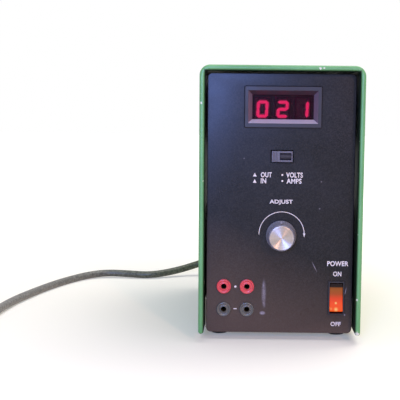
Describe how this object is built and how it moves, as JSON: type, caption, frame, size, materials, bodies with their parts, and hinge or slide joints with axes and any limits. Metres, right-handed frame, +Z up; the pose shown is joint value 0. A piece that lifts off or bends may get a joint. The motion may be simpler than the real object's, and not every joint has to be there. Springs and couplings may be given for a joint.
{
  "type": "electrophoresis power supply",
  "caption": "Bench power supply in a green U-shaped cover with a black panel: red digital meter, output knob, lit rocker, banana jacks, and a mains cord at the rear.",
  "frame": {"origin": "on the table, at the middle of the base of the unit's own box (without the mains cord)", "axes": "+X to the right seen from the front, +Y to the back (the panel faces -Y), +Z up"},
  "size_m": [0.4658, 0.3067, 0.225],
  "materials": {
    "green_cover": "satin green enamel on moulded plastic",
    "black_panel": "fine matt black paint on aluminium",
    "chassis_steel": "zinc-plated sheet steel",
    "zinc_steel": "zinc plated",
    "nickel_steel": "nickel plated",
    "black_rubber": "matt",
    "black_plastic": "moulded",
    "dark_grey_plastic": "moulded",
    "grey_plastic": "moulded",
    "knob_plastic": "semi-gloss moulded",
    "red_filter": "polished dark red acrylic",
    "circuit_board": "solder mask",
    "brass": "turned",
    "green_plastic": "moulded",
    "spun_aluminium": "spun, with radial highlights",
    "aluminium_bar": "drawn",
    "amber_rocker": "clear amber, lit from inside",
    "lamp_glass": "clear",
    "red_plastic": "moulded",
    "jack_black": "moulded",
    "laminations": "varnished laminations",
    "copper_winding": "enamelled wire under tape",
    "capacitor_sleeve": "shrink sleeve",
    "cord_jacket": "matt dark grey jacket"
  },
  "bodies": {
    "case": {"cover": "green_cover", "cover_screws": "zinc_steel", "chassis": "chassis_steel", "front_panel": "black_panel", "panel_studs": "zinc_steel", "panel_nuts": "zinc_steel", "feet": "black_rubber", "foot_screws": "zinc_steel", "display_bezel": "black_plastic", "display_window": "red_filter", "digit_left": "grey_plastic", "digit_middle": "grey_plastic", "digit_right": "grey_plastic", "display_board": "circuit_board", "display_standoffs": "brass", "display_screws": "zinc_steel", "selector_housing": "black_plastic", "pot_body": "nickel_steel", "pot_washer": "zinc_steel", "pot_nut": "zinc_steel", "rocker_housing": "black_plastic", "rocker_tabs": "brass", "jack_red_left": "red_plastic", "jack_red_right": "red_plastic", "jack_black_left": "jack_black", "jack_black_right": "jack_black", "jack_sockets": "brass", "jack_nuts": "brass", "transformer_core": "laminations", "transformer_coil": "copper_winding", "transformer_frame": "zinc_steel", "transformer_screws": "zinc_steel", "main_board": "circuit_board", "board_standoffs": "brass", "board_screws": "zinc_steel", "filter_capacitors": "capacitor_sleeve", "rectifier": "black_plastic", "triac": "black_plastic", "triac_heat_sink": "aluminium_bar", "relay": "black_plastic", "terminal_block": "green_plastic", "fuse_holder": "black_plastic", "strain_relief": "cord_jacket", "cord_lead": "cord_jacket", "cord_coil": "cord_jacket", "cord_tie": "black_rubber", "plug_body": "cord_jacket", "plug_blades": "nickel_steel"},
    "knob_parts": {"knob": "knob_plastic", "knob_cap": "spun_aluminium", "knob_screw": "zinc_steel", "pot_shaft": "aluminium_bar"},
    "rocker": {"rocker_button": "amber_rocker", "rocker_lamp": "lamp_glass"},
    "selector": {"selector_button": "dark_grey_plastic"},
    "flag": {"flag_drum": "black_plastic", "flag_green": "green_plastic"},
    "fuse_carrier": {"fuse_cap": "black_plastic", "fuse": "lamp_glass"}
  },
  "joints": [
    {"name": "knob_turn", "type": "hinge", "parent": "case", "child": "knob_parts", "pos_m": [0.0008, -0.1003, 0.0876], "axis": [0, 1, 0], "range_deg": [-150, 150]},
    {"name": "rocker_rock", "type": "hinge", "parent": "case", "child": "rocker", "pos_m": [0.047, -0.0981, 0.0363], "axis": [1, 0, 0], "range_deg": [0, 22]},
    {"name": "selector_push", "type": "slide", "parent": "case", "child": "selector", "axis": [0, 1, 0], "range_m": [0, 0.0025]},
    {"name": "flag_turn", "type": "hinge", "parent": "selector", "child": "flag", "pos_m": [0.0033, -0.0985, 0.1523], "axis": [1, 0, 0], "range_deg": [0, 130]},
    {"name": "fuse_cap_turn", "type": "hinge", "parent": "case", "child": "fuse_carrier", "pos_m": [0.0485, 0.1027, 0.034], "axis": [0, 1, 0], "range_deg": [0, 60]}
  ],
  "couplings": [
    {"joint": "flag_turn", "follows": "selector_push", "rad_per_m": 907.5}
  ]
}
